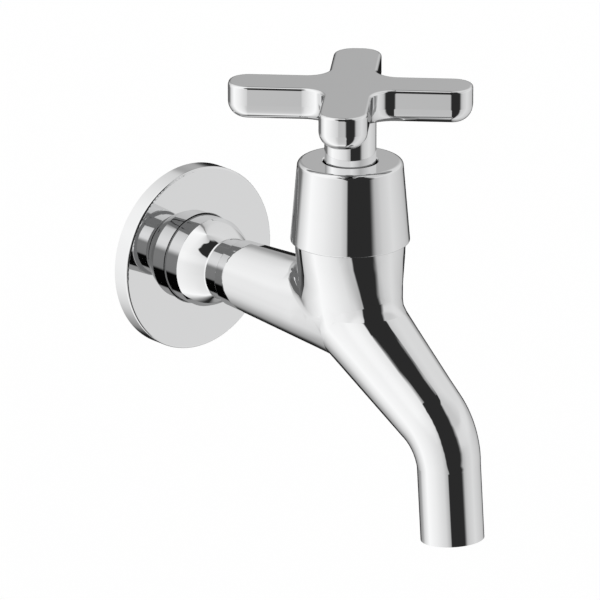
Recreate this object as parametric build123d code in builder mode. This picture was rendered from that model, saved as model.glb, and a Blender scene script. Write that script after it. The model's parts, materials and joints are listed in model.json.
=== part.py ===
from build123d import *
from math import cos, radians, sin
import os

# Wall-mounted cold water tap with a screw-down valve and a cross handle.
# The origin is on the inlet axis at the finished wall, +Y points into the wall and +Z is up,
# so the tap reaches out of the wall along -Y. Sizes are in millimetres.

# Wall flange, a cup turned from bar with an inner hub that slides on the collar
flange_radius = 27.5
flange_depth = 5.6
flange_wall = 1.3
flange_edge_round = 0.7
flange_bore_radius = 13.4
flange_hub_radius = 16.2
flange_hub_start = 0.6

# Rubber ring that grips the collar inside the hub of the flange
grip_ring_section = 0.86
grip_ring_radius = 14.13
grip_groove_radius = 15.05
grip_groove_start = 1.5
grip_groove_end = 3.4

# Inlet tail, a half inch parallel pipe thread at its major diameter
tail_radius = 10.4775
tail_length = 14.0
tail_chamfer = 1.2
tail_bore_radius = 6.5
tail_bore_depth = 2.0

# Stepped collar and neck between the tail and the leg
collar_radius = 13.25
collar_start = 0.5
collar_end = 11.0
neck_radius = 9.15
neck_start = 18.9
shoulder_bulge = 0.35
collar_edge_round = 0.25
neck_round = 0.8

# Inlet leg, a cone that widens to the corner where the spout turns down
leg_start = 24.2
leg_start_radius = 9.95
leg_edge_round = 0.35
leg_bore_radius = 5.6
corner_reach = 76.3
corner_radius = 12.9

# Valve axis, and the upright, round under the cover and oval where it joins the leg and spout
valve_reach = 73.0
upright_heights = (22.6, 17.5, 12.5, 8.0, 3.0, -1.5)
upright_half_widths = (15.9, 15.2, 14.1, 13.45, 12.85, 12.3)
upright_half_lengths = (15.9, 16.3, 16.8, 17.2, 17.4, 17.4)
foot_blend = 6.0
spigot_radius = 14.0
spigot_bottom = 15.0
body_top = 27.0

# Spout, a slope that tapers from the corner, a bend and a straight drop
slope_angle = 33.4
slope_length = 38.35
bend_radius = 17.2
drop_angle = 85.4
drop_length = 21.6
outlet_radius = 9.1
spout_bore_start = 8.0
spout_bore_radius = 8.6
outlet_bore_radius = 7.1

# Valve chamber, seat and the passage round the seat to the spout
chamber_radius = 11.5
chamber_floor = 7.5
chamber_top = 19.0
head_thread_radius = 10.5
seat_height = 9.0
seat_bore_radius = 5.25
seat_lip_radius = 6.3
seat_root_radius = 7.6
passage_inner_radius = 8.1
passage_outer_radius = 11.4
passage_bottom = -7.0
passage_half_angle = 48.0

# Headwork, with a hexagon, a guide for the spindle screw and a stuffing box
head_gasket_height = 1.0
head_gasket_bore = 10.6
head_gasket_radius = 13.2
head_screw_radius = 10.45
head_nose_radius = 9.3
head_nose_bottom = 18.5
head_nose_top = 20.5
head_flange_radius = 13.4
head_flange_height = 1.2
head_hex_flats = 23.0
head_hex_height = 4.3
head_neck_radius = 8.1
head_neck_top = 38.0
screw_radius = 6.5
screw_clearance = 0.04
screw_guide_top = 29.6
gland_floor = 31.5
gland_box_radius = 6.8
shaft_radius = 4.5
shaft_clearance = 0.05

# Gland washer, packing and nut round the spindle
gland_clearance = 0.04
gland_washer_height = 0.8
packing_height = 2.5
gland_nut_gap = 0.6
gland_nut_flats = 13.0
gland_nut_head = 2.8

# Spindle, drawn with the valve shut
spindle_bottom = 14.1
spindle_foot_radius = 4.7
screw_bottom = 16.4
screw_top = 25.2
drive_square = 6.3
drive_bottom = 50.5
drive_top = 60.0
jumper_bore_radius = 2.6
jumper_bore_top = 23.0

# Jumper with its rubber washer and nut
washer_height = 3.0
washer_radius = 7.4
washer_bore_radius = 2.05
jumper_plate_height = 2.0
jumper_plate_radius = 7.6
jumper_stem_radius = 2.5
jumper_stem_top = 22.0
jumper_stud_radius = 2.0
jumper_stud_bottom = 6.2
washer_nut_flats = 7.0
washer_nut_height = 2.4

# Bonnet cover, a conical cap screwed on the spigot
cover_top = 46.3
cover_top_radius = 15.1
cover_top_round = 1.4
cover_low = 22.6
cover_low_radius = 17.15
cover_low_round = 0.35
cover_hole_radius = 7.85
cover_top_wall = 1.5
cover_side_wall = 1.7
cover_thread_radius = 14.05
cover_thread_top = 28.0

# Cross handle with a long skirt that drops into the cover
handle_top = 69.4
arm_height = 10.2
arm_reach = 34.8
arm_width = 13.8
arm_tip_round = 6.0
arm_root_round = 6.5
arm_top_round = 0.9
arm_low_round = 4.8
arm_turn = 45.0
skirt_radius = 7.4
skirt_bottom = 42.0
skirt_bore_radius = 6.1
skirt_bore_top = 50.7
drive_clearance = 0.05
drive_hole_top = 60.3

# Grub screw through the back of the skirt
grub_radius = 2.0
grub_hole_radius = 2.05
grub_height = 56.0
grub_sink = 0.4
grub_socket_flats = 2.0
grub_socket_depth = 1.6

# Values worked out from the sizes above
arm_bottom = handle_top - arm_height
head_seat = body_top + head_gasket_height
head_hex_bottom = head_seat + head_flange_height
packing_bottom = gland_floor + gland_washer_height
packing_top = packing_bottom + packing_height
gland_nut_bottom = head_neck_top + gland_nut_gap
gland_nut_top = gland_nut_bottom + gland_nut_head
washer_top = seat_height + washer_height
plate_top = washer_top + jumper_plate_height
leg_bore_end = valve_reach + leg_bore_radius
cover_slope = (cover_low_radius - cover_top_radius) / (cover_top - cover_low)
cover_inner_low = cover_low_radius - cover_slope * (cover_thread_top - cover_low) - cover_side_wall
cover_inner_top = cover_top_radius + cover_slope * cover_top_wall - cover_side_wall
passage_side = 20 * sin(radians(passage_half_angle))
passage_front = 20 * cos(radians(passage_half_angle))

# Planes and axes: out of the wall by height, and valve radius by height
side_plane = Plane(origin=(0, 0, 0), x_dir=(0, -1, 0), z_dir=(-1, 0, 0))
valve_plane = Plane(origin=(0, -valve_reach, 0), x_dir=(1, 0, 0), z_dir=(0, -1, 0))
inlet_axis = Axis((0, 0, 0), (0, -1, 0))
valve_axis = Axis((0, -valve_reach, 0), (0, 0, 1))


def level(height):
    """Horizontal plane centred on the valve axis at this height."""
    return Plane(origin=(0, -valve_reach, height))


def circles(found, radius):
    """Circular edges of this radius."""
    return found.filter_by(GeomType.CIRCLE).filter_by(lambda edge: abs(edge.radius - radius) < 0.01)


def creases(found, near, far):
    """Curved edges round the foot of the upright whose middles lie between these reaches."""
    foot = found.filter_by(GeomType.BSPLINE).filter_by_position(Axis.Z, 0.3, 9)
    return foot.filter_by(lambda edge: near < -edge.center().Y < far)


# Lengths along the spout's centre line, measured from the corner
bend_turn = radians(drop_angle - slope_angle)
bend_end = slope_length + bend_radius * bend_turn
spout_end = bend_end + drop_length
slope_reach = corner_reach + slope_length * cos(radians(slope_angle))
slope_height = -slope_length * sin(radians(slope_angle))


def centre_line(length):
    """Reach out of the wall, height and angle below level at a length along the spout."""
    slope = radians(slope_angle)
    drop = radians(drop_angle)
    if length <= slope_length:
        return corner_reach + length * cos(slope), -length * sin(slope), slope
    fall = min(slope + (length - slope_length) / bend_radius, drop)
    past = max(length - bend_end, 0)
    reach = slope_reach + bend_radius * (sin(fall) - sin(slope)) + past * cos(drop)
    height = slope_height - bend_radius * (cos(slope) - cos(fall)) - past * sin(drop)
    return reach, height, fall


def outer_radius(length):
    """Outer radius, tapering from the corner to the size of the outlet at the end of the bend."""
    return corner_radius + (outlet_radius - corner_radius) * min(length / bend_end, 1)


def bore_radius(length):
    """Radius of the waterway, narrowing down the slope to the mouth of the spout."""
    return spout_bore_radius + (outlet_bore_radius - spout_bore_radius) * min(length / slope_length, 1)


def station(length):
    """Plane square to the spout's centre line."""
    reach, height, fall = centre_line(length)
    return Plane(origin=(0, -reach, height), x_dir=(1, 0, 0), z_dir=(0, -cos(fall), -sin(fall)))


def bend_stations(start, end):
    """Lengths through a bend, with a close pair at each end so that it runs in and out straight."""
    shares = (0, 0.02, 0.14, 0.28, 0.42, 0.56, 0.7, 0.84, 0.98, 1)
    return [start + (end - start) * share for share in shares]


# One-piece brass body: tail, collar, leg, upright and spout, with its waterway
with BuildPart() as tap_body:
    with BuildSketch(side_plane):
        with BuildLine():
            Polyline(
                (-tail_length, 0),
                (-tail_length, tail_radius),
                (collar_start, tail_radius),
                (collar_start, collar_radius),
                (collar_end, collar_radius),
            )
            SagittaArc((collar_end, collar_radius), (neck_start, neck_radius), shoulder_bulge)
            Polyline(
                (neck_start, neck_radius),
                (leg_start, neck_radius),
                (leg_start, leg_start_radius),
                (corner_reach, corner_radius),
                (corner_reach, 0),
                (-tail_length, 0),
            )
        make_face()
    revolve(axis=inlet_axis)
    chamfer(circles(edges(), tail_radius).sort_by(Axis.Y)[-1], tail_chamfer)
    fillet(circles(edges(), collar_radius).sort_by(Axis.Y)[0], collar_edge_round)
    fillet(circles(edges(), neck_radius).sort_by(Axis.Y)[-1], neck_round)
    fillet(circles(edges(), leg_start_radius), leg_edge_round)
    # Ball at the corner, then the slope, bend and drop of the spout
    with Locations((0, -corner_reach, 0)):
        Sphere(corner_radius)
    for length in (0, slope_length):
        with BuildSketch(station(length)):
            Circle(outer_radius(length))
    loft()
    for length in bend_stations(slope_length, bend_end):
        with BuildSketch(station(length)):
            Circle(outer_radius(length))
    loft()
    for length in (bend_end, spout_end):
        with BuildSketch(station(length)):
            Circle(outer_radius(length))
    loft()
    # Upright, blended into the leg and the spout, with the spigot for the cover on top
    upright_sections = zip(upright_heights, upright_half_widths, upright_half_lengths)
    for height, half_width, half_length in upright_sections:
        with BuildSketch(level(height)):
            Ellipse(half_width, half_length)
    loft()
    fillet(creases(edges(), valve_reach - upright_half_lengths[-1], slope_reach), foot_blend)
    with BuildSketch(level(spigot_bottom)):
        Circle(spigot_radius)
    extrude(amount=body_top - spigot_bottom)
    # Spout bore, from the passage to the mouth
    for length in (spout_bore_start, slope_length):
        with BuildSketch(station(length)):
            Circle(bore_radius(length))
    loft(mode=Mode.SUBTRACT)
    for length in bend_stations(slope_length, bend_end):
        with BuildSketch(station(length)):
            Circle(bore_radius(length))
    loft(mode=Mode.SUBTRACT)
    for length in (bend_end, spout_end):
        with BuildSketch(station(length)):
            Circle(bore_radius(length))
    loft(mode=Mode.SUBTRACT)
    # Inlet bore, up to the wall beyond the seat
    with BuildSketch(side_plane):
        with BuildLine():
            Polyline(
                (-tail_length, 0),
                (-tail_length, tail_bore_radius),
                (tail_bore_depth, tail_bore_radius),
                (tail_bore_depth + 1, leg_bore_radius),
                (leg_bore_end, leg_bore_radius),
                (leg_bore_end, 0),
                close=True,
            )
        make_face()
    revolve(axis=inlet_axis, mode=Mode.SUBTRACT)
    # Seat bore, seat lip, chamber and the thread bore for the headwork
    with BuildSketch(valve_plane):
        with BuildLine():
            Polyline(
                (0, 0),
                (seat_bore_radius, 0),
                (seat_bore_radius, seat_height),
                (seat_lip_radius, seat_height),
                (seat_root_radius, chamber_floor),
                (chamber_radius, chamber_floor),
                (chamber_radius, chamber_top),
                (head_thread_radius, chamber_top + 1),
                (head_thread_radius, body_top),
                (0, body_top),
                close=True,
            )
        make_face()
    revolve(axis=valve_axis, mode=Mode.SUBTRACT)
    # Curved passage down the front of the seat to the spout bore
    with BuildSketch(level(chamber_floor + 1)):
        Circle(passage_outer_radius)
        Circle(passage_inner_radius, mode=Mode.SUBTRACT)
        with BuildLine():
            Line((0, 0), (-passage_side, -passage_front))
            Line((0, 0), (passage_side, -passage_front))
            ThreePointArc((-passage_side, -passage_front), (0, -20), (passage_side, -passage_front))
        make_face(mode=Mode.INTERSECT)
    extrude(amount=passage_bottom - chamber_floor - 1, mode=Mode.SUBTRACT)
tap_body.part.label = "tap_body"

# Thin-walled flange with a polished face, an inner hub and a groove for the rubber ring
with BuildPart() as wall_flange:
    with BuildSketch(side_plane):
        with BuildLine():
            Polyline(
                (0, flange_radius),
                (flange_depth, flange_radius),
                (flange_depth, flange_bore_radius),
                (grip_groove_end, flange_bore_radius),
                (grip_groove_end, grip_groove_radius),
                (grip_groove_start, grip_groove_radius),
                (grip_groove_start, flange_bore_radius),
                (flange_hub_start, flange_bore_radius),
                (flange_hub_start, flange_hub_radius),
                (flange_depth - flange_wall, flange_hub_radius),
                (flange_depth - flange_wall, flange_radius - flange_wall),
                (0, flange_radius - flange_wall),
                close=True,
            )
        make_face()
    revolve(axis=inlet_axis)
    front_rim = circles(edges(), flange_radius).sort_by(Axis.Y)[0]
    fillet(front_rim, flange_edge_round)
    front_bore = circles(edges(), flange_bore_radius).sort_by(Axis.Y)[0]
    chamfer(front_bore, 0.3)
wall_flange.part.label = "wall_flange"

# Rubber ring between the hub and the collar
with BuildPart() as flange_ring:
    with BuildSketch(side_plane):
        with Locations(((grip_groove_start + grip_groove_end) / 2, grip_ring_radius)):
            Circle(grip_ring_section)
    revolve(axis=inlet_axis)
flange_ring.part.label = "flange_ring"

# Bonnet cover with a flat top and a long taper that stands proud of the upright
with BuildPart() as bonnet_cover:
    with BuildSketch(valve_plane):
        with BuildLine():
            Polyline(
                (cover_hole_radius, cover_top),
                (cover_top_radius, cover_top),
                (cover_low_radius, cover_low),
                (cover_thread_radius, cover_low),
                (cover_thread_radius, cover_thread_top),
                (cover_inner_low, cover_thread_top),
                (cover_inner_top, cover_top - cover_top_wall),
                (cover_hole_radius, cover_top - cover_top_wall),
                close=True,
            )
        make_face()
    revolve(axis=valve_axis)
    fillet(circles(edges(), cover_top_radius), cover_top_round)
    fillet(circles(edges(), cover_low_radius), cover_low_round)
    chamfer(circles(edges(), cover_hole_radius).sort_by(Axis.Z)[-1], 0.3)
bonnet_cover.part.label = "bonnet_cover"

# Fibre washer under the headwork
with BuildPart() as head_washer:
    with BuildSketch(level(body_top)):
        Circle(head_gasket_radius)
        Circle(head_gasket_bore, mode=Mode.SUBTRACT)
    extrude(amount=head_gasket_height)
head_washer.part.label = "head_washer"

# Headwork, screwed into the body and holding the spindle
with BuildPart() as headwork:
    with BuildSketch(valve_plane):
        with BuildLine():
            Polyline(
                (0, head_nose_bottom),
                (head_nose_radius, head_nose_bottom),
                (head_nose_radius, head_nose_top),
                (head_screw_radius, head_nose_top + 1),
                (head_screw_radius, head_seat),
                (head_flange_radius, head_seat),
                (head_flange_radius, head_hex_bottom),
                (head_neck_radius, head_hex_bottom),
                (head_neck_radius, head_neck_top),
                (0, head_neck_top),
                close=True,
            )
        make_face()
    revolve(axis=valve_axis)
    with BuildSketch(level(head_hex_bottom)):
        RegularPolygon(head_hex_flats / 2, 6, major_radius=False)
    extrude(amount=head_hex_height)
    with BuildSketch(valve_plane):
        with BuildLine():
            Polyline(
                (0, head_nose_bottom),
                (screw_radius + screw_clearance, head_nose_bottom),
                (screw_radius + screw_clearance, screw_guide_top),
                (shaft_radius + shaft_clearance, screw_guide_top),
                (shaft_radius + shaft_clearance, gland_floor),
                (gland_box_radius, gland_floor),
                (gland_box_radius, head_neck_top),
                (0, head_neck_top),
                close=True,
            )
        make_face()
    revolve(axis=valve_axis, mode=Mode.SUBTRACT)
headwork.part.label = "headwork"

# Brass washer at the bottom of the stuffing box
with BuildPart() as gland_washer:
    with BuildSketch(level(gland_floor)):
        Circle(gland_box_radius - gland_clearance)
        Circle(shaft_radius + shaft_clearance, mode=Mode.SUBTRACT)
    extrude(amount=gland_washer_height)
gland_washer.part.label = "gland_washer"

# Soft packing squeezed round the spindle
with BuildPart() as gland_packing:
    with BuildSketch(level(packing_bottom)):
        Circle(gland_box_radius - gland_clearance)
        Circle(shaft_radius + gland_clearance, mode=Mode.SUBTRACT)
    extrude(amount=packing_height)
gland_packing.part.label = "gland_packing"

# Gland nut that presses on the packing
with BuildPart() as gland_nut:
    with BuildSketch(level(packing_top)):
        Circle(gland_box_radius - gland_clearance)
    extrude(amount=gland_nut_bottom - packing_top)
    with BuildSketch(level(gland_nut_bottom)):
        RegularPolygon(gland_nut_flats / 2, 6, major_radius=False)
    extrude(amount=gland_nut_head)
    with BuildSketch(level(packing_top)):
        Circle(shaft_radius + shaft_clearance)
    extrude(amount=gland_nut_top - packing_top, mode=Mode.SUBTRACT)
gland_nut.part.label = "gland_nut"

# Spindle with a screw, a plain shaft and a square end, bored for the jumper's stem
with BuildPart() as spindle:
    with BuildSketch(valve_plane):
        with BuildLine():
            Polyline(
                (jumper_bore_radius, spindle_bottom),
                (spindle_foot_radius, spindle_bottom),
                (spindle_foot_radius, screw_bottom),
                (screw_radius, screw_bottom),
                (screw_radius, screw_top),
                (shaft_radius, screw_top),
                (shaft_radius, drive_bottom),
                (0, drive_bottom),
                (0, jumper_bore_top),
                (jumper_bore_radius, jumper_bore_top),
                close=True,
            )
        make_face()
    revolve(axis=valve_axis)
    with BuildSketch(level(drive_bottom)):
        Rectangle(drive_square, drive_square)
    extrude(amount=drive_top - drive_bottom)
    chamfer(faces().sort_by(Axis.Z)[-1].edges(), 0.4)
    chamfer(circles(edges(), screw_radius), 0.5)
spindle.part.label = "spindle"

# Jumper: plate, stem that hangs in the spindle and stud for the washer
with BuildPart() as jumper:
    with BuildSketch(valve_plane):
        with BuildLine():
            Polyline(
                (0, jumper_stud_bottom),
                (jumper_stud_radius, jumper_stud_bottom),
                (jumper_stud_radius, washer_top),
                (jumper_plate_radius, washer_top),
                (jumper_plate_radius, plate_top),
                (jumper_stem_radius, plate_top),
                (jumper_stem_radius, jumper_stem_top),
                (0, jumper_stem_top),
                close=True,
            )
        make_face()
    revolve(axis=valve_axis)
    chamfer(circles(edges(), jumper_stem_radius).sort_by(Axis.Z)[-1], 0.4)
jumper.part.label = "jumper"

# Rubber tap washer that closes on the seat
with BuildPart() as tap_washer:
    with BuildSketch(level(seat_height)):
        Circle(washer_radius)
        Circle(washer_bore_radius, mode=Mode.SUBTRACT)
    extrude(amount=washer_height)
    fillet(circles(edges(), washer_radius), 0.3)
tap_washer.part.label = "tap_washer"

# Small nut that holds the washer on the jumper
with BuildPart() as washer_nut:
    with BuildSketch(level(seat_height - washer_nut_height)):
        RegularPolygon(washer_nut_flats / 2, 6, major_radius=False)
        Circle(washer_bore_radius, mode=Mode.SUBTRACT)
    extrude(amount=washer_nut_height)
washer_nut.part.label = "washer_nut"

# Cross handle with four flat arms, softened edges and a long round skirt
with BuildPart() as cross_handle:
    with BuildSketch(level(arm_bottom)):
        with Locations(Rotation(0, 0, arm_turn)):
            RectangleRounded(arm_reach * 2, arm_width, arm_tip_round)
            RectangleRounded(arm_width, arm_reach * 2, arm_tip_round)
        roots = vertices().filter_by(lambda corner: corner.distance_to(Vertex(0, 0, 0)) < arm_width)
        fillet(roots, arm_root_round)
    extrude(amount=arm_height)
    fillet(faces().sort_by(Axis.Z)[0].edges(), arm_low_round)
    fillet(faces().sort_by(Axis.Z)[-1].edges(), arm_top_round)
    with BuildSketch(level(skirt_bottom)):
        Circle(skirt_radius)
    extrude(amount=arm_bottom - skirt_bottom)
    with BuildSketch(level(skirt_bottom)):
        Circle(skirt_bore_radius)
    extrude(amount=skirt_bore_top - skirt_bottom, mode=Mode.SUBTRACT)
    with BuildSketch(level(skirt_bore_top)):
        Rectangle(drive_square + drive_clearance * 2, drive_square + drive_clearance * 2)
    extrude(amount=drive_hole_top - skirt_bore_top, mode=Mode.SUBTRACT)
    with BuildSketch(Plane(origin=(0, -valve_reach, grub_height), x_dir=(1, 0, 0), z_dir=(0, 1, 0))):
        Circle(grub_hole_radius)
    extrude(amount=skirt_radius + 1, mode=Mode.SUBTRACT)
cross_handle.part.label = "cross_handle"

# Headless grub screw that clamps the skirt on the square end
with BuildPart() as grub_screw:
    grub_plane = Plane(origin=(0, drive_square / 2 - valve_reach, grub_height), z_dir=(0, 1, 0))
    with BuildSketch(grub_plane):
        Circle(grub_radius)
    extrude(amount=skirt_radius - grub_sink - drive_square / 2)
    chamfer(circles(edges(), grub_radius), 0.25)
    with BuildSketch(grub_plane.offset(skirt_radius - grub_sink - drive_square / 2)):
        RegularPolygon(grub_socket_flats / 2, 6, major_radius=False)
    extrude(amount=-grub_socket_depth, mode=Mode.SUBTRACT)
grub_screw.part.label = "grub_screw"

os.makedirs("parts", exist_ok=True)
export_step(tap_body.part, "parts/tap_body.step")
export_step(wall_flange.part, "parts/wall_flange.step")
export_step(flange_ring.part, "parts/flange_ring.step")
export_step(bonnet_cover.part, "parts/bonnet_cover.step")
export_step(head_washer.part, "parts/head_washer.step")
export_step(headwork.part, "parts/headwork.step")
export_step(gland_washer.part, "parts/gland_washer.step")
export_step(gland_packing.part, "parts/gland_packing.step")
export_step(gland_nut.part, "parts/gland_nut.step")
export_step(spindle.part, "parts/spindle.step")
export_step(jumper.part, "parts/jumper.step")
export_step(tap_washer.part, "parts/tap_washer.step")
export_step(washer_nut.part, "parts/washer_nut.step")
export_step(cross_handle.part, "parts/cross_handle.step")
export_step(grub_screw.part, "parts/grub_screw.step")
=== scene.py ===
"""Wall-mounted cold water tap with a cross handle: its finishes, pipe thread and a small studio.

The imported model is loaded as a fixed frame, in metres, with +Z up and -Y out of the wall. Each
operator finishes one group of pieces, and the last one builds the studio round them.
"""

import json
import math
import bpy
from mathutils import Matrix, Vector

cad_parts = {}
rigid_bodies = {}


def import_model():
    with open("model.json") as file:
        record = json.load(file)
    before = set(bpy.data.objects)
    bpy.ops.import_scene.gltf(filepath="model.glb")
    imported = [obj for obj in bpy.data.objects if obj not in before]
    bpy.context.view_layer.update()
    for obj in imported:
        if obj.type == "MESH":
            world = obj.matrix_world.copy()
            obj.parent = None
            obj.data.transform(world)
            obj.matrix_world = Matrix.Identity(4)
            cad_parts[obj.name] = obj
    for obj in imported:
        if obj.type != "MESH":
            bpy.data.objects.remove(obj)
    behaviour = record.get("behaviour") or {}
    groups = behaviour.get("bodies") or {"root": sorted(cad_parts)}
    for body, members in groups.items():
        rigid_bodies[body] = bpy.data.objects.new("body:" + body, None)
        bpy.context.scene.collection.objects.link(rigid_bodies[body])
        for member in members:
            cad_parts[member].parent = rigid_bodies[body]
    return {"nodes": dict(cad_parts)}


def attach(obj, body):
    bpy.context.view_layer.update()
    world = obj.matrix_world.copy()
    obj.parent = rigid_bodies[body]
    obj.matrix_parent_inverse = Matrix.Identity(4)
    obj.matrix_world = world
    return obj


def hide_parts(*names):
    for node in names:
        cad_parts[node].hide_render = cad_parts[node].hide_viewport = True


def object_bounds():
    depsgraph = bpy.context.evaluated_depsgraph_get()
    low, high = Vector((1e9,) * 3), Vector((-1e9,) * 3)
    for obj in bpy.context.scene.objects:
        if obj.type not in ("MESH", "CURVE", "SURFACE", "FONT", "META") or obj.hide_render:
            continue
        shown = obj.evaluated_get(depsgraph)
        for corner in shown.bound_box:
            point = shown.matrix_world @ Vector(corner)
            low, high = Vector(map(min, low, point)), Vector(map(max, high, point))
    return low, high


bl_info = {
    "name": "Wall-mounted cold water tap",
    "version": (1, 0, 0),
    "blender": (4, 5, 0),
    "location": "3D View > Sidebar > Tap",
    "description": "Plates the tap, finishes its brass and rubber, and sets up a plain studio",
    "category": "Object",
}

import bmesh
import bpy
from mathutils import Vector

for leftover in list(bpy.data.objects):
    bpy.data.objects.remove(leftover)

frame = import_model()
cad_low, cad_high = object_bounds()

PLATED = ("tap_body", "wall_flange", "bonnet_cover", "cross_handle")
TURNED_BRASS = ("headwork", "gland_washer", "gland_nut", "spindle", "jumper", "washer_nut")

# Nearly all the values of a noise texture fall between these two.
NOISE_LOW = 0.3
NOISE_HIGH = 0.7

# Screen greys in the tone tables run from 0 to this white, and this power makes them light.
SCREEN_WHITE = 255.0
SCREEN_POWER = 2.2


# Node helpers


def new_material(name):
    """A material that uses nodes and has none yet."""
    material = bpy.data.materials.new(name)
    material.use_nodes = True
    material.node_tree.nodes.clear()
    return material


def add(tree, kind, **settings):
    """A node of this kind with its own properties set."""
    node = tree.nodes.new(kind)
    for name, value in settings.items():
        setattr(node, name, value)
    return node


def feed(tree, socket, value):
    """Fills an input with a constant, or links another node's output to it."""
    if isinstance(value, bpy.types.NodeSocket):
        tree.links.new(value, socket)
    else:
        socket.default_value = value


def maths(tree, operation, first, second=None):
    """A Math node. Each input is a number or another node's output."""
    node = add(tree, "ShaderNodeMath", operation=operation)
    feed(tree, node.inputs[0], first)
    if second is not None:
        feed(tree, node.inputs[1], second)
    return node.outputs[0]


def map_range(tree, value, low, high, out_low, out_high, steps="LINEAR"):
    """A value stretched from one range to another and clamped there."""
    node = add(tree, "ShaderNodeMapRange", interpolation_type=steps)
    tree.links.new(value, node.inputs["Value"])
    node.inputs["From Min"].default_value = low
    node.inputs["From Max"].default_value = high
    node.inputs["To Min"].default_value = out_low
    node.inputs["To Max"].default_value = out_high
    return node.outputs["Result"]


def rise(tree, value, start, end):
    """A mask that rises smoothly from 0 to 1 between two values."""
    return map_range(tree, value, start, end, 0.0, 1.0, "SMOOTHSTEP")


def fall(tree, value, start, end):
    """A mask that falls smoothly from 1 to 0 between two values."""
    return map_range(tree, value, start, end, 1.0, 0.0, "SMOOTHSTEP")


def between(tree, share, least, most):
    """A share from 0 to 1 turned into a value between two ends."""
    return map_range(tree, share, 0.0, 1.0, least, most)


def uneven(tree, fractal, least, most):
    """Noise turned into a value that wanders between two ends."""
    return map_range(tree, fractal, NOISE_LOW, NOISE_HIGH, least, most)


def noise(tree, vector, scale, detail, roughness=0.5, distortion=0.0):
    """Fractal noise over the object. Its scale is a number or another node's output."""
    node = add(tree, "ShaderNodeTexNoise")
    tree.links.new(vector, node.inputs["Vector"])
    feed(tree, node.inputs["Scale"], scale)
    node.inputs["Detail"].default_value = detail
    node.inputs["Roughness"].default_value = roughness
    node.inputs["Distortion"].default_value = distortion
    return node.outputs["Fac"]


def stretched(tree, vector, scale):
    """Object coordinates stretched by a scale along each axis."""
    node = add(tree, "ShaderNodeMapping")
    tree.links.new(vector, node.inputs["Vector"])
    node.inputs["Scale"].default_value = scale
    return node.outputs["Vector"]


def mix_colours(tree, share, first, second):
    """Two colours mixed by a share. Each colour is a value or another node's output."""
    node = add(tree, "ShaderNodeMix", data_type="RGBA")
    tree.links.new(share, node.inputs["Factor"])
    for value, name in ((first, "A"), (second, "B")):
        socket = [s for s in node.inputs if s.name == name and s.type == "RGBA"][0]
        linked = isinstance(value, bpy.types.NodeSocket)
        feed(tree, socket, value if linked else (*value, 1.0))
    return [s for s in node.outputs if s.type == "RGBA"][0]


def group_tree(name, inputs, outputs):
    """An empty shader node group with named inputs and outputs."""
    tree = bpy.data.node_groups.new(name, "ShaderNodeTree")
    for socket_name, kind, default in inputs:
        socket = tree.interface.new_socket(socket_name, in_out="INPUT", socket_type=kind)
        if default is not None:
            socket.default_value = default
    for socket_name, kind in outputs:
        tree.interface.new_socket(socket_name, in_out="OUTPUT", socket_type=kind)
    return tree, add(tree, "NodeGroupInput"), add(tree, "NodeGroupOutput")


def place_group(tree, group, vector, **values):
    """A node group placed in a material with its own values."""
    node = add(tree, "ShaderNodeGroup", node_tree=group)
    tree.links.new(vector, node.inputs["Vector"])
    for name, value in values.items():
        node.inputs[name.capitalize()].default_value = value
    return node


def object_vector(tree):
    """Object coordinates, so that a pattern stays with its piece."""
    return add(tree, "ShaderNodeTexCoord").outputs["Object"]


def principled(material, base, roughness, height, lift, **constants):
    """The material's shader, with its varying colour, roughness and bump linked in."""
    tree = material.node_tree
    shader = add(tree, "ShaderNodeBsdfPrincipled")
    output = add(tree, "ShaderNodeOutputMaterial")
    bump = add(tree, "ShaderNodeBump")
    bump.inputs["Strength"].default_value = 1.0
    bump.inputs["Distance"].default_value = lift
    tree.links.new(height, bump.inputs["Height"])
    tree.links.new(base, shader.inputs["Base Color"])
    tree.links.new(roughness, shader.inputs["Roughness"])
    tree.links.new(bump.outputs["Normal"], shader.inputs["Normal"])
    tree.links.new(shader.outputs["BSDF"], output.inputs["Surface"])
    for name, value in constants.items():
        shader.inputs[name].default_value = value


def give(node_name, material):
    """Puts the material in every slot of a CAD node."""
    for place in frame["nodes"][node_name].material_slots:
        place.material = material


# Effects that several materials share


def handling_marks():
    """Faint smears left by fingers and drying water, as a mask from 0 to 1."""
    inputs = [
        ("Vector", "NodeSocketVector", None),
        ("Size", "NodeSocketFloat", 0.012),
        ("Amount", "NodeSocketFloat", 0.4),
    ]
    tree, taken, given = group_tree("Handling marks", inputs, [("Smear", "NodeSocketFloat")])
    vector = taken.outputs["Vector"]
    patch_scale = maths(tree, "DIVIDE", 1.0, taken.outputs["Size"])
    patch = noise(tree, vector, scale=patch_scale, detail=4.0, distortion=0.6)
    where = rise(tree, patch, 0.5, 0.72)
    fine = noise(tree, vector, scale=900.0, detail=3.0, roughness=0.6)
    broken = map_range(tree, fine, low=0.35, high=0.65, out_low=0.35, out_high=1.0)
    smear = maths(tree, "MULTIPLY", where, broken)
    tree.links.new(maths(tree, "MULTIPLY", smear, taken.outputs["Amount"]), given.inputs["Smear"])
    return tree


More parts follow.
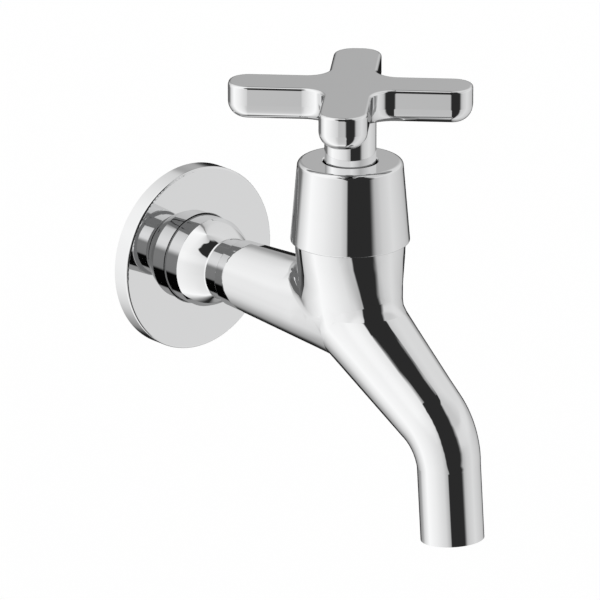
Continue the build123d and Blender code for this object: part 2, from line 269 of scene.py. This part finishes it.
def lime_spots():
    """Small dried drops with a brighter rim, as a mask from 0 to 1."""
    inputs = [
        ("Vector", "NodeSocketVector", None),
        ("Size", "NodeSocketFloat", 0.004),
        ("Amount", "NodeSocketFloat", 0.3),
    ]
    tree, taken, given = group_tree("Lime spots", inputs, [("Spot", "NodeSocketFloat")])
    cell = add(tree, "ShaderNodeTexVoronoi", feature="F1")
    tree.links.new(taken.outputs["Vector"], cell.inputs["Vector"])
    feed(tree, cell.inputs["Scale"], maths(tree, "DIVIDE", 1.0, taken.outputs["Size"]))
    distance = cell.outputs["Distance"]
    inside = fall(tree, distance, 0.16, 0.2)
    middle = map_range(tree, distance, 0.12, 0.17, 0.7, 0.0, "SMOOTHSTEP")
    ring = maths(tree, "SUBTRACT", inside, middle)
    colour = add(tree, "ShaderNodeSeparateColor")
    tree.links.new(cell.outputs["Color"], colour.inputs["Color"])
    share_without = 0.82
    chosen = maths(tree, "GREATER_THAN", colour.outputs["Red"], share_without)
    spot = maths(tree, "MULTIPLY", ring, chosen)
    tree.links.new(maths(tree, "MULTIPLY", spot, taken.outputs["Amount"]), given.inputs["Spot"])
    return tree


def turning_lines():
    """Fine tool lines round the axis of a turned piece, as a height from 0 to 1."""
    inputs = [
        ("Vector", "NodeSocketVector", None),
        ("Pitch", "NodeSocketFloat", 0.00025),
    ]
    tree, taken, given = group_tree("Turning lines", inputs, [("Height", "NodeSocketFloat")])
    vector = taken.outputs["Vector"]
    parts = add(tree, "ShaderNodeSeparateXYZ")
    tree.links.new(vector, parts.inputs["Vector"])
    drift = noise(tree, vector, scale=220.0, detail=2.0)
    wobble = maths(tree, "MULTIPLY", drift, 0.00012)
    level = maths(tree, "ADD", parts.outputs["Z"], wobble)
    turn = maths(tree, "DIVIDE", level, taken.outputs["Pitch"])
    wave = maths(tree, "SINE", maths(tree, "MULTIPLY", turn, 2.0 * math.pi))
    grooves = maths(tree, "MULTIPLY", maths(tree, "ADD", wave, 1.0), 0.3)
    scratches = noise(tree, stretched(tree, vector, (60.0, 60.0, 9000.0)), scale=1.0, detail=3.0)
    height = maths(tree, "ADD", grooves, maths(tree, "MULTIPLY", scratches, 0.4))
    tree.links.new(height, given.inputs["Height"])
    return tree


def cloudy_tone():
    """Two colours that drift into each other over a surface."""
    inputs = [
        ("Vector", "NodeSocketVector", None),
        ("Light", "NodeSocketColor", None),
        ("Dark", "NodeSocketColor", None),
        ("Scale", "NodeSocketFloat", 60.0),
    ]
    tree, taken, given = group_tree("Cloudy tone", inputs, [("Colour", "NodeSocketColor")])
    cloud = noise(tree, taken.outputs["Vector"], scale=taken.outputs["Scale"], detail=5.0)
    share = rise(tree, cloud, 0.32, 0.68)
    mixed = mix_colours(tree, share, taken.outputs["Light"], taken.outputs["Dark"])
    tree.links.new(mixed, given.inputs["Colour"])
    return tree


def effect(name, build):
    """A shared node group, built once."""
    return bpy.data.node_groups.get(name) or build()


# Materials


def plate_material(name, finish, seed_shift):
    """Polished chrome plate: a clear mirror with faint smears, dried drops and buffing ripple."""
    material = new_material(name)
    tree = material.node_tree
    shift = add(tree, "ShaderNodeVectorMath", operation="ADD")
    tree.links.new(object_vector(tree), shift.inputs[0])
    shift.inputs[1].default_value = seed_shift
    vector = shift.outputs["Vector"]
    smear = place_group(
        tree, effect("Handling marks", handling_marks), vector, size=0.014, amount=finish.smears
    ).outputs["Smear"]
    spot = place_group(
        tree, effect("Lime spots", lime_spots), vector, size=0.0035, amount=finish.spots
    ).outputs["Spot"]
    marks = maths(tree, "MINIMUM", maths(tree, "ADD", smear, spot), 1.0)
    clean_colour = tuple(finish.plate_colour)
    dulled_colour = tuple(channel * 0.93 for channel in clean_colour)
    base = mix_colours(tree, marks, clean_colour, dulled_colour)
    clean_roughness = finish.plate_roughness
    roughness = between(tree, marks, clean_roughness, clean_roughness + 0.16)
    waves = stretched(tree, vector, (1.0, 1.0, 0.6))
    ripple = noise(tree, waves, scale=260.0, detail=2.0, roughness=0.4)
    height = maths(tree, "ADD", ripple, maths(tree, "MULTIPLY", marks, 0.15))
    principled(material, base, roughness, height, finish.plate_ripple, Metallic=1.0)
    return material


def cloudy_material(name, light, darkening, scale):
    """A material with no shader yet, the vector of its object, and a base colour that drifts
    between a light tone and the same tone darkened by a share for each channel."""
    material = new_material(name)
    tree = material.node_tree
    vector = object_vector(tree)
    colour = place_group(tree, effect("Cloudy tone", cloudy_tone), vector, scale=scale)
    dark = tuple(channel * share for channel, share in zip(light, darkening))
    colour.inputs["Light"].default_value = (*light, 1.0)
    colour.inputs["Dark"].default_value = (*dark, 1.0)
    return material, vector, colour.outputs["Colour"]


def brass_material(name, finish):
    """Turned brass with tool lines and a little tarnish."""
    material, vector, base = cloudy_material(
        name, finish.brass_colour, darkening=(0.74, 0.66, 0.55), scale=140.0
    )
    tree = material.node_tree
    lines = place_group(tree, effect("Turning lines", turning_lines), vector, pitch=0.0003)
    roughness = uneven(tree, noise(tree, vector, scale=420.0, detail=4.0), 0.22, 0.4)
    principled(material, base, roughness, lines.outputs["Height"], lift=0.00001, Metallic=1.0)
    return material


def rubber_material(name, finish):
    """Black moulded rubber with a fine matt skin."""
    material, vector, base = cloudy_material(
        name, finish.rubber_colour, darkening=(0.55, 0.55, 0.55), scale=300.0
    )
    tree = material.node_tree
    skin = noise(tree, vector, scale=3200.0, detail=3.0)
    roughness = uneven(tree, noise(tree, vector, scale=700.0, detail=3.0), 0.55, 0.75)
    principled(material, base, roughness, skin, lift=0.00004, Metallic=0.0)
    return material


def fibre_material(name, finish):
    """Pressed red fibre with a mottled sheet grain."""
    material, vector, base = cloudy_material(
        name, finish.fibre_colour, darkening=(0.6, 0.5, 0.5), scale=500.0
    )
    tree = material.node_tree
    layers = stretched(tree, vector, (1.0, 1.0, 6.0))
    grain = noise(tree, layers, scale=1500.0, detail=4.0, roughness=0.6)
    roughness = uneven(tree, grain, 0.6, 0.85)
    principled(material, base, roughness, grain, lift=0.00006, Metallic=0.0)
    return material


def packing_material(name, finish):
    """Greased graphite packing, braided and squeezed into a ring."""
    material, vector, base = cloudy_material(
        name, finish.packing_colour, darkening=(0.4, 0.4, 0.42), scale=420.0
    )
    tree = material.node_tree
    braid = add(tree, "ShaderNodeTexWave", wave_type="BANDS", bands_direction="DIAGONAL")
    tree.links.new(vector, braid.inputs["Vector"])
    braid.inputs["Scale"].default_value = 260.0
    braid.inputs["Distortion"].default_value = 2.0
    strands = braid.outputs["Fac"]
    roughness = between(tree, strands, 0.42, 0.62)
    principled(material, base, roughness, strands, lift=0.0001, Metallic=0.0)
    return material


def steel_material(name, finish):
    """Plain stainless steel with faint drawn lines."""
    material, vector, base = cloudy_material(
        name, finish.steel_colour, darkening=(0.8, 0.8, 0.8), scale=700.0
    )
    tree = material.node_tree
    drawn = stretched(tree, vector, (4000.0, 200.0, 4000.0))
    lines = noise(tree, drawn, scale=1.0, detail=2.0)
    roughness = uneven(tree, lines, 0.18, 0.34)
    principled(material, base, roughness, lines, lift=0.000006, Metallic=1.0)
    return material


# Pipe thread


# Sizes in metres. The tail's plain cylinder starts past TAIL_START on the Y axis, and the
# tolerances say how far a vertex may lie from that cylinder or from one of its two rims.
TAIL_START = -0.002
SURFACE_TOLERANCE = 2e-5
RIM_TOLERANCE = 1e-5
RUN_IN = 0.0016
RUN_OUT = 0.0008
ROWS_PER_TURN = 12


def smooth_step(value):
    """0 below 0, 1 above 1, and a soft rise between."""
    share = min(max(value, 0.0), 1.0)
    return share * share * (3.0 - 2.0 * share)


def turn_of(place):
    """The angle of a point round the tail, from straight up towards +X."""
    return math.atan2(place.x, place.z)


def tail_faces(work, radius):
    """The faces of the plain cylinder that the CAD has for the threaded tail."""
    def on_cylinder(vertex):
        off_surface = abs(math.hypot(vertex.co.x, vertex.co.z) - radius)
        return vertex.co.y > TAIL_START and off_surface < SURFACE_TOLERANCE

    return [face for face in work.faces if all(on_cylinder(vertex) for vertex in face.verts)]


def rim_places(corners, level):
    """The points of the rim at this level, in order round the tail and each one once."""
    digits = 4
    whole_turn = round(math.tau, digits)
    rim = {}
    for vertex in corners:
        if abs(vertex.co.y - level) < RIM_TOLERANCE:
            turn = round(turn_of(vertex.co) % math.tau, digits) % whole_turn
            rim[turn] = vertex.co.copy()
    return [rim[turn] for turn in sorted(rim)]


def thread_row(rim, along, full, shape):
    """A row of points round the tail, each at its depth in the thread's right-hand groove."""
    row = []
    for place in rim:
        turn = turn_of(place)
        wave = math.cos(along / shape.thread_pitch * math.tau - turn)
        trough = 0.5 - 0.5 * wave
        reach = shape.thread_radius - shape.thread_depth * full * trough
        row.append((reach * math.sin(turn), along, reach * math.cos(turn)))
    return row


def cut_thread(mesh, shape):
    """Swaps the plain cylinder of the tail for a right-hand thread between the same two rims."""
    work = bmesh.new()
    work.from_mesh(mesh)
    plain = tail_faces(work, shape.thread_radius)
    if not plain:
        raise RuntimeError("The tail's plain cylinder wasn't found")
    material_index = plain[0].material_index
    corners = {vertex for face in plain for vertex in face.verts}
    start = min(vertex.co.y for vertex in corners)
    end = max(vertex.co.y for vertex in corners)
    near_rim = rim_places(corners, start)
    far_rim = rim_places(corners, end)
    if len(near_rim) != len(far_rim):
        raise RuntimeError("The two rims of the tail don't match")
    bmesh.ops.delete(work, geom=plain, context="FACES")
    steps = round((end - start) / shape.thread_pitch * ROWS_PER_TURN)
    levels = [near_rim]
    for step in range(1, steps):
        along = start + (end - start) * step / steps
        full = smooth_step((along - start) / RUN_IN) * smooth_step((end - along) / RUN_OUT)
        levels.append(thread_row(near_rim, along, full, shape))
    levels.append(far_rim)
    rows = [[work.verts.new(place) for place in level] for level in levels]
    count = len(near_rim)
    for lower, upper in zip(rows, rows[1:]):
        for index in range(count):
            other = (index + 1) % count
            face = work.faces.new((lower[index], lower[other], upper[other], upper[index]))
            face.smooth = True
            face.material_index = material_index
    work.to_mesh(mesh)
    work.free()


# Studio


# All the angles in these tables are in degrees. The bearing is 0 in front of the tap and grows
# towards +X, so the camera stands at -40. The elevation is 0 at the horizon and 90 overhead.

# What the chrome mirrors: broad screen greys round the tap. Each band has the elevation where it
# starts to show, the one where it is full, and pairs of a bearing and a grey. A white softbox
# stands near -125, pale walls run from there past both sides, and the rear has a dark gap near 140.
FIRST_TONES = (
    (-90, -90, (
        (-180, 170), (-160, 215), (-130, 255), (-95, 240), (-70, 225), (-50, 190), (10, 200),
        (45, 220), (90, 205), (115, 180), (134, 150), (139, 40), (145, 45), (155, 110), (180, 170),
    )),
    (-25, -17, (
        (-180, 110), (-168, 115), (-158, 210), (-130, 255), (-95, 240), (-60, 215), (-45, 175),
        (8, 175), (25, 205), (50, 220), (90, 200), (126, 160), (141, 50), (155, 125), (180, 110),
    )),
    (2, 18, (
        (-180, 205), (-155, 240), (-125, 255), (-95, 250), (-65, 230), (-48, 180), (8, 180),
        (14, 215), (60, 225), (115, 215), (136, 180), (150, 150), (165, 190), (180, 205),
    )),
    (25, 36, (
        (-180, 230), (-130, 255), (-90, 245), (-65, 220), (-45, 190), (35, 200), (75, 220),
        (115, 215), (133, 190), (138, 130), (143, 130), (150, 210), (180, 230),
    )),
)

# The same for a direction that is mirrored twice, such as the collar through the flange's face.
SECOND_TONES = (
    (-90, -90, (
        (-180, 130), (-90, 175), (-50, 15), (1, 10), (6, 140), (110, 150), (180, 130),
    )),
    (-26, -21, (
        (-180, 110), (-130, 230), (-90, 215), (-45, 125), (-20, 100), (12, 100), (34, 190),
        (60, 205), (150, 125), (180, 110),
    )),
    (6, 18, (
        (-180, 150), (-130, 255), (-85, 225), (-45, 215), (-36, 225), (5, 175), (55, 210),
        (115, 205), (180, 150),
    )),
    (40, 43, ((-180, 110), (180, 110))),
)

# Light Path's ray depth is 2 after one mirror. A step between two whole depths finds the rays
# that have met two mirrors or more, and another finds those that have met three or more.
MET_TWO = (2.4, 2.6)
MET_THREE = (3.4, 3.6)

# The sides of the dark card in front of the tap, as pairs of an elevation and a bearing.
CARD_LEFT = (
    (-90, -41), (-24, -40), (-18, -40), (-13, -45), (-8, -47), (4, -50), (18, -55), (27, -59),
    (34, -65), (40, -72), (44, -76), (47, -77), (49, -76), (51, -74.5), (53, -73), (57, -72),
    (60, -71), (65, -68), (72, -50), (90, -20),
)
CARD_RIGHT = (
    (-90, 5), (-20, 5), (-13, 9), (-9, 3.5), (-4, 6), (5, 8), (16, 6), (30, 4), (50, 3), (58, 4),
    (64.5, 8), (67, 19), (70, 38), (72, 27), (74, 17), (79, 10), (90, 0),
)

# The degrees past each side over which the card fades, and the elevations between which it ends.
CARD_LEFT_EDGE = (-2.0, 2.0)
CARD_RIGHT_EDGE = (-5.0, 8.0)
CARD_TOP_EDGE = (76.0, 82.0)

# The dim room straight behind the tap is full within the first of these angles from the line of
# sight, and gone at the second.
REAR_FULL = 16.0
REAR_GONE = 32.0

WHITE = (1.0, 1.0, 1.0)
FLOOR_HALF_WIDTH = 3.0
FLOOR_ROUGHNESS = 0.8

# The camera sees a darker floor that glows, so that it looks white and its shadow still shows.
SEEN_FLOOR_COLOUR = (0.3, 0.3, 0.3)
SEEN_FLOOR_GLOW = 0.8


def world_tones(tree, bearing, stops):
    """A grey that changes with the bearing round the tap. Stops are degrees and a screen grey."""
    share = map_range(tree, bearing, -math.pi, math.pi, 0.0, 1.0)
    ramp = add(tree, "ShaderNodeValToRGB")
    tree.links.new(share, ramp.inputs["Fac"])
    spots = ramp.color_ramp.elements
    while len(spots) > 1:
        spots.remove(spots[-1])
    for index, (degrees, grey) in enumerate(stops):
        where = (degrees + 180.0) / 360.0
        spot = spots[0] if index == 0 else spots.new(where)
        spot.position = where
        level = (grey / SCREEN_WHITE) ** SCREEN_POWER
        spot.color = (level, level, level, 1.0)
    return ramp.outputs["Color"]


def tones_by_height(tree, bearing, elevation, bands):
    """Bands of tones one above the other, each mixed over the one below it."""
    lowest, *upper_bands = bands
    shown = world_tones(tree, bearing, lowest[-1])
    for starts, full, stops in upper_bands:
        share = rise(tree, elevation, math.radians(starts), math.radians(full))
        shown = mix_colours(tree, share, shown, world_tones(tree, bearing, stops))
    return shown


def edge_curve(tree, elevation, points):
    """A bearing in degrees that changes with the elevation, for the side of the dark card."""
    curve = add(tree, "ShaderNodeFloatCurve")
    share = map_range(tree, elevation, -math.pi / 2.0, math.pi / 2.0, 0.0, 1.0)
    tree.links.new(share, curve.inputs["Value"])
    line = curve.mapping.curves[0]
    placed = [((height + 90.0) / 180.0, (bearing + 180.0) / 360.0) for height, bearing in points]
    line.points[0].location = placed[0]
    line.points[1].location = placed[-1]
    for spot in placed[1:-1]:
        line.points.new(*spot)
    for point in line.points:
        point.handle_type = "VECTOR"
    curve.mapping.update()
    return between(tree, curve.outputs["Value"], -180.0, 180.0)


def card_mask(tree, bearing, elevation):
    """A mask that is 1 on the dark card in front of the tap."""
    degrees = maths(tree, "MULTIPLY", bearing, 180.0 / math.pi)
    past_left = maths(tree, "SUBTRACT", degrees, edge_curve(tree, elevation, CARD_LEFT))
    past_right = maths(tree, "SUBTRACT", degrees, edge_curve(tree, elevation, CARD_RIGHT))
    left_share = rise(tree, past_left, *CARD_LEFT_EDGE)
    right_share = fall(tree, past_right, *CARD_RIGHT_EDGE)
    top_share = fall(tree, elevation, *(math.radians(edge) for edge in CARD_TOP_EDGE))
    across = maths(tree, "MULTIPLY", left_share, right_share)
    return maths(tree, "MULTIPLY", across, top_share)


def close_to(tree, direction, bearing, elevation):
    """A mask that is 1 round one direction and fades out about thirty degrees from it."""
    flat = math.cos(elevation)
    towards = (flat * math.sin(bearing), -flat * math.cos(bearing), math.sin(elevation))
    facing = add(tree, "ShaderNodeVectorMath", operation="DOT_PRODUCT")
    tree.links.new(direction, facing.inputs[0])
    facing.inputs[1].default_value = towards
    gone = math.cos(math.radians(REAR_GONE))
    full = math.cos(math.radians(REAR_FULL))
    return rise(tree, facing.outputs["Value"], gone, full)


class TapFinish(bpy.types.PropertyGroup):
    """Colours and surface qualities of the tap's materials."""

    plate_colour: bpy.props.FloatVectorProperty(
        name="Plate colour", description="Colour of the chrome plate", subtype="COLOR",
        size=3, min=0.0, max=1.0, default=(0.955, 0.958, 0.962),
    )
    plate_roughness: bpy.props.FloatProperty(
        name="Plate roughness", description="Roughness of clean chrome plate", min=0.0, max=1.0,
        default=0.02, subtype="FACTOR",
    )
    plate_ripple: bpy.props.FloatProperty(
        name="Buffing ripple", description="Depth of the ripple that buffing leaves",
        min=0.0, default=0.0000012, precision=7, unit="LENGTH",
    )
    thread_radius: bpy.props.FloatProperty(
        name="Thread radius", description="Radius over the crests of the thread on the tail",
        min=0.0, default=0.0104775, precision=7, unit="LENGTH",
    )
    thread_pitch: bpy.props.FloatProperty(
        name="Thread pitch", description="Pitch of the half inch pipe thread on the tail",
        min=0.0005, default=0.001814, precision=6, unit="LENGTH",
    )
    thread_depth: bpy.props.FloatProperty(
        name="Thread depth", description="Depth of the half inch pipe thread on the tail",
        min=0.0, default=0.001162, precision=6, unit="LENGTH",
    )
    smears: bpy.props.FloatProperty(
        name="Smears", description="Strength of the smears on the plate", min=0.0, max=1.0,
        default=0.12, subtype="FACTOR",
    )
    spots: bpy.props.FloatProperty(
        name="Dried drops", description="Strength of the dried drops on the plate", min=0.0,
        max=1.0, default=0.1, subtype="FACTOR",
    )
    brass_colour: bpy.props.FloatVectorProperty(
        name="Brass colour", description="Colour of turned brass", subtype="COLOR",
        size=3, min=0.0, max=1.0, default=(0.79, 0.6, 0.3),
    )
    steel_colour: bpy.props.FloatVectorProperty(
        name="Steel colour", description="Colour of the grub screw", subtype="COLOR",
        size=3, min=0.0, max=1.0, default=(0.6, 0.6, 0.61),
    )
    rubber_colour: bpy.props.FloatVectorProperty(
        name="Rubber colour", description="Colour of the ring and the tap washer",
        subtype="COLOR", size=3, min=0.0, max=1.0, default=(0.03, 0.03, 0.03),
    )
    fibre_colour: bpy.props.FloatVectorProperty(
        name="Fibre colour", description="Colour of the fibre washer", subtype="COLOR",
        size=3, min=0.0, max=1.0, default=(0.45, 0.1, 0.07),
    )
    packing_colour: bpy.props.FloatVectorProperty(
        name="Packing colour", description="Colour of the gland packing", subtype="COLOR",
        size=3, min=0.0, max=1.0, default=(0.11, 0.11, 0.115),
    )


class TapStudio(bpy.types.PropertyGroup):
    """The camera, the floor and the light tent round the tap."""

    bearing: bpy.props.FloatProperty(
        name="Bearing", description="Where the camera stands, round from the front of the tap",
        default=math.radians(-40.53), subtype="ANGLE",
    )
    elevation: bpy.props.FloatProperty(
        name="Elevation", description="Height of the camera above the horizon",
        default=math.radians(18.75), subtype="ANGLE",
    )
    distance: bpy.props.FloatProperty(
        name="Distance", description="Distance from the camera to the point that it looks at",
        min=0.1, default=2.061, unit="LENGTH",
    )
    aim: bpy.props.FloatVectorProperty(
        name="Aim", description="The point that the camera looks at", subtype="TRANSLATION",
        size=3, default=(0.0223, -0.0249, -0.013),
    )
    lens: bpy.props.FloatProperty(
        name="Lens", description="Focal length of the camera", min=10.0, default=420.5,
        unit="CAMERA",
    )
    floor_drop: bpy.props.FloatProperty(
        name="Floor drop", description="Height of the spout's mouth above the floor",
        min=0.0, default=0.15, unit="LENGTH",
    )
    floor_colour: bpy.props.FloatVectorProperty(
        name="Floor colour", description="Colour of the pale floor", subtype="COLOR",
        size=3, min=0.0, max=1.0, default=(0.86, 0.86, 0.86),
    )
    card_grey: bpy.props.FloatProperty(
        name="Card grey", description="How light the dark card in front of the tap is",
        min=0.0, max=1.0, default=0.024, subtype="FACTOR",
    )
    rear_grey: bpy.props.FloatProperty(
        name="Rear grey", description="How light the room straight behind the tap is",
        min=0.0, max=1.0, default=0.012, subtype="FACTOR",
    )
    deep_grey: bpy.props.FloatProperty(
        name="Deep grey", description="How light the studio is after three mirrors or more",
        min=0.0, max=1.0, default=0.16, subtype="FACTOR",
    )


class TAP_OT_plate(bpy.types.Operator):
    """Plates the body, the flange, the bonnet cover and the handle with polished chrome"""

    bl_idname = "tap.plate"
    bl_label = "Plate the outside"

    def execute(self, context):
        finish = context.scene.tap_finish
        for index, node_name in enumerate(PLATED):
            shift = (0.31 * index, 0.17 * index, 0.23 * index)
            give(node_name, plate_material(f"{node_name} chrome", finish, shift))
        return {"FINISHED"}


class TAP_OT_thread(bpy.types.Operator):
    """Cuts the half inch pipe thread into the tail of the body"""

    bl_idname = "tap.thread"
    bl_label = "Thread the tail"

    def execute(self, context):
        plain = frame["nodes"]["tap_body"]
        mesh = plain.data.copy()
        mesh.name = "threaded_tap_body"
        cut_thread(mesh, context.scene.tap_finish)
        body = bpy.data.objects.new("threaded_tap_body", mesh)
        context.scene.collection.objects.link(body)
        for index, place in enumerate(plain.material_slots):
            mesh.materials[index] = place.material
        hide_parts("tap_body")
        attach(body, "fixed")
        return {"FINISHED"}


class TAP_OT_brass(bpy.types.Operator):
    """Finishes the headwork, gland, spindle and jumper as turned brass"""

    bl_idname = "tap.brass"
    bl_label = "Finish the valve's brass"

    def execute(self, context):
        finish = context.scene.tap_finish
        for node_name in TURNED_BRASS:
            give(node_name, brass_material(f"{node_name} brass", finish))
        return {"FINISHED"}


class TAP_OT_soft(bpy.types.Operator):
    """Finishes the rubber ring, tap washer, fibre washer and gland packing"""

    bl_idname = "tap.soft"
    bl_label = "Finish the seals"

    def execute(self, context):
        finish = context.scene.tap_finish
        give("flange_ring", rubber_material("ring rubber", finish))
        give("tap_washer", rubber_material("washer rubber", finish))
        give("head_washer", fibre_material("red fibre", finish))
        give("gland_packing", packing_material("graphite packing", finish))
        return {"FINISHED"}


class TAP_OT_screw(bpy.types.Operator):
    """Finishes the grub screw as plain steel"""

    bl_idname = "tap.screw"
    bl_label = "Finish the grub screw"

    def execute(self, context):
        give("grub_screw", steel_material("screw steel", context.scene.tap_finish))
        return {"FINISHED"}


class TAP_OT_studio(bpy.types.Operator):
    """Builds the floor, the light tent and the camera"""

    bl_idname = "tap.studio"
    bl_label = "Build the studio"

    def execute(self, context):
        studio = context.scene.tap_studio
        self.make_floor(context, studio)
        self.make_tent(context, studio)
        self.make_camera(context, studio)
        context.scene.view_settings.view_transform = "Standard"
        return {"FINISHED"}

    def make_floor(self, context, studio):
        """A pale floor that looks white, keeps its shadow and isn't mirrored in the chrome."""
        level = cad_low.z - studio.floor_drop
        corners = [
            (across * FLOOR_HALF_WIDTH, along * FLOOR_HALF_WIDTH, level)
            for across, along in ((-1, -1), (1, -1), (1, 1), (-1, 1))
        ]
        mesh = bpy.data.meshes.new("floor")
        mesh.from_pydata(corners, [], [(0, 1, 2, 3)])
        floor = bpy.data.objects.new("floor", mesh)
        context.scene.collection.objects.link(floor)
        floor.visible_glossy = False
        mesh.materials.append(self.floor_material(studio))

    def floor_material(self, studio):
        """Pale matt board with faint specks, which glows for the camera only."""
        material = new_material("pale floor")
        tree = material.node_tree
        shader = add(tree, "ShaderNodeBsdfPrincipled")
        shader.inputs["Roughness"].default_value = FLOOR_ROUGHNESS
        shader.inputs["Emission Color"].default_value = (*WHITE, 1.0)
        seen = add(tree, "ShaderNodeLightPath").outputs["Is Camera Ray"]
        speck = uneven(tree, noise(tree, object_vector(tree), scale=30.0, detail=3.0), 0.0, 1.0)
        light = tuple(studio.floor_colour)
        pale = mix_colours(tree, speck, light, tuple(channel * 0.98 for channel in light))
        feed(tree, shader.inputs["Base Color"], mix_colours(tree, seen, pale, SEEN_FLOOR_COLOUR))
        glow = maths(tree, "MULTIPLY", seen, SEEN_FLOOR_GLOW)
        feed(tree, shader.inputs["Emission Strength"], glow)
        output = add(tree, "ShaderNodeOutputMaterial")
        tree.links.new(shader.outputs["BSDF"], output.inputs["Surface"])
        return material

    def make_tent(self, context, studio):
        """A tent of pale tones with a dark card in front of the tap and a dim room behind it."""
        world = bpy.data.worlds.new("light tent")
        context.scene.world = world
        world.use_nodes = True
        tree = world.node_tree
        tree.nodes.clear()
        parts = add(tree, "ShaderNodeSeparateXYZ")
        direction = add(tree, "ShaderNodeTexCoord").outputs["Generated"]
        tree.links.new(direction, parts.inputs["Vector"])
        front = maths(tree, "MULTIPLY", parts.outputs["Y"], -1.0)
        bearing = maths(tree, "ARCTAN2", parts.outputs["X"], front)
        elevation = maths(tree, "ARCSINE", parts.outputs["Z"])
        rays = add(tree, "ShaderNodeLightPath")

        once = tones_by_height(tree, bearing, elevation, FIRST_TONES)
        behind = close_to(tree, direction, studio.bearing + math.pi, -studio.elevation)
        once = mix_colours(tree, behind, once, (studio.rear_grey,) * 3)
        card = card_mask(tree, bearing, elevation)
        once = mix_colours(tree, card, once, (studio.card_grey,) * 3)

        twice = tones_by_height(tree, bearing, elevation, SECOND_TONES)
        met_three = map_range(tree, rays.outputs["Ray Depth"], *MET_THREE, 0.0, 1.0)
        later = mix_colours(tree, met_three, twice, (studio.deep_grey,) * 3)
        met_two = map_range(tree, rays.outputs["Ray Depth"], *MET_TWO, 0.0, 1.0)
        mirrored = mix_colours(tree, met_two, once, later)

        shown = mix_colours(tree, rays.outputs["Is Camera Ray"], mirrored, WHITE)
        background = add(tree, "ShaderNodeBackground")
        tree.links.new(shown, background.inputs["Color"])
        output = add(tree, "ShaderNodeOutputWorld")
        tree.links.new(background.outputs["Background"], output.inputs["Surface"])

    def make_camera(self, context, studio):
        """The camera, on the photograph's line of sight."""
        camera = bpy.data.objects.new("camera", bpy.data.cameras.new("camera"))
        context.scene.collection.objects.link(camera)
        camera.data.lens = studio.lens
        camera.data.clip_end = 50.0
        flat = math.cos(studio.elevation)
        forward = Vector((
            -math.sin(studio.bearing) * flat,
            math.cos(studio.bearing) * flat,
            -math.sin(studio.elevation),
        ))
        camera.location = Vector(studio.aim) - forward * studio.distance
        camera.rotation_euler = (math.pi / 2.0 - studio.elevation, 0.0, studio.bearing)
        context.scene.camera = camera


class TAP_PT_sidebar(bpy.types.Panel):
    """Lists the steps that finish the tap, and the values that they use"""

    bl_idname = "TAP_PT_sidebar"
    bl_label = "Cold water tap"
    bl_space_type = "VIEW_3D"
    bl_region_type = "UI"
    bl_category = "Tap"

    def draw(self, context):
        layout = self.layout
        for step in STEPS:
            layout.operator(step.bl_idname)
        for group in (context.scene.tap_finish, context.scene.tap_studio):
            box = layout.box()
            for name in group.__annotations__:
                box.prop(group, name)


STEPS = (TAP_OT_plate, TAP_OT_thread, TAP_OT_brass, TAP_OT_soft, TAP_OT_screw, TAP_OT_studio)
CLASSES = (TapFinish, TapStudio, *STEPS, TAP_PT_sidebar)


def register():
    for item in CLASSES:
        bpy.utils.register_class(item)
    bpy.types.Scene.tap_finish = bpy.props.PointerProperty(type=TapFinish)
    bpy.types.Scene.tap_studio = bpy.props.PointerProperty(type=TapStudio)


def unregister():
    del bpy.types.Scene.tap_studio
    del bpy.types.Scene.tap_finish
    for item in reversed(CLASSES):
        bpy.utils.unregister_class(item)


def main():
    """Runs every step in order."""
    register()
    bpy.ops.tap.plate()
    bpy.ops.tap.thread()
    bpy.ops.tap.brass()
    bpy.ops.tap.soft()
    bpy.ops.tap.screw()
    bpy.ops.tap.studio()


if __name__ == "__main__":
    main()
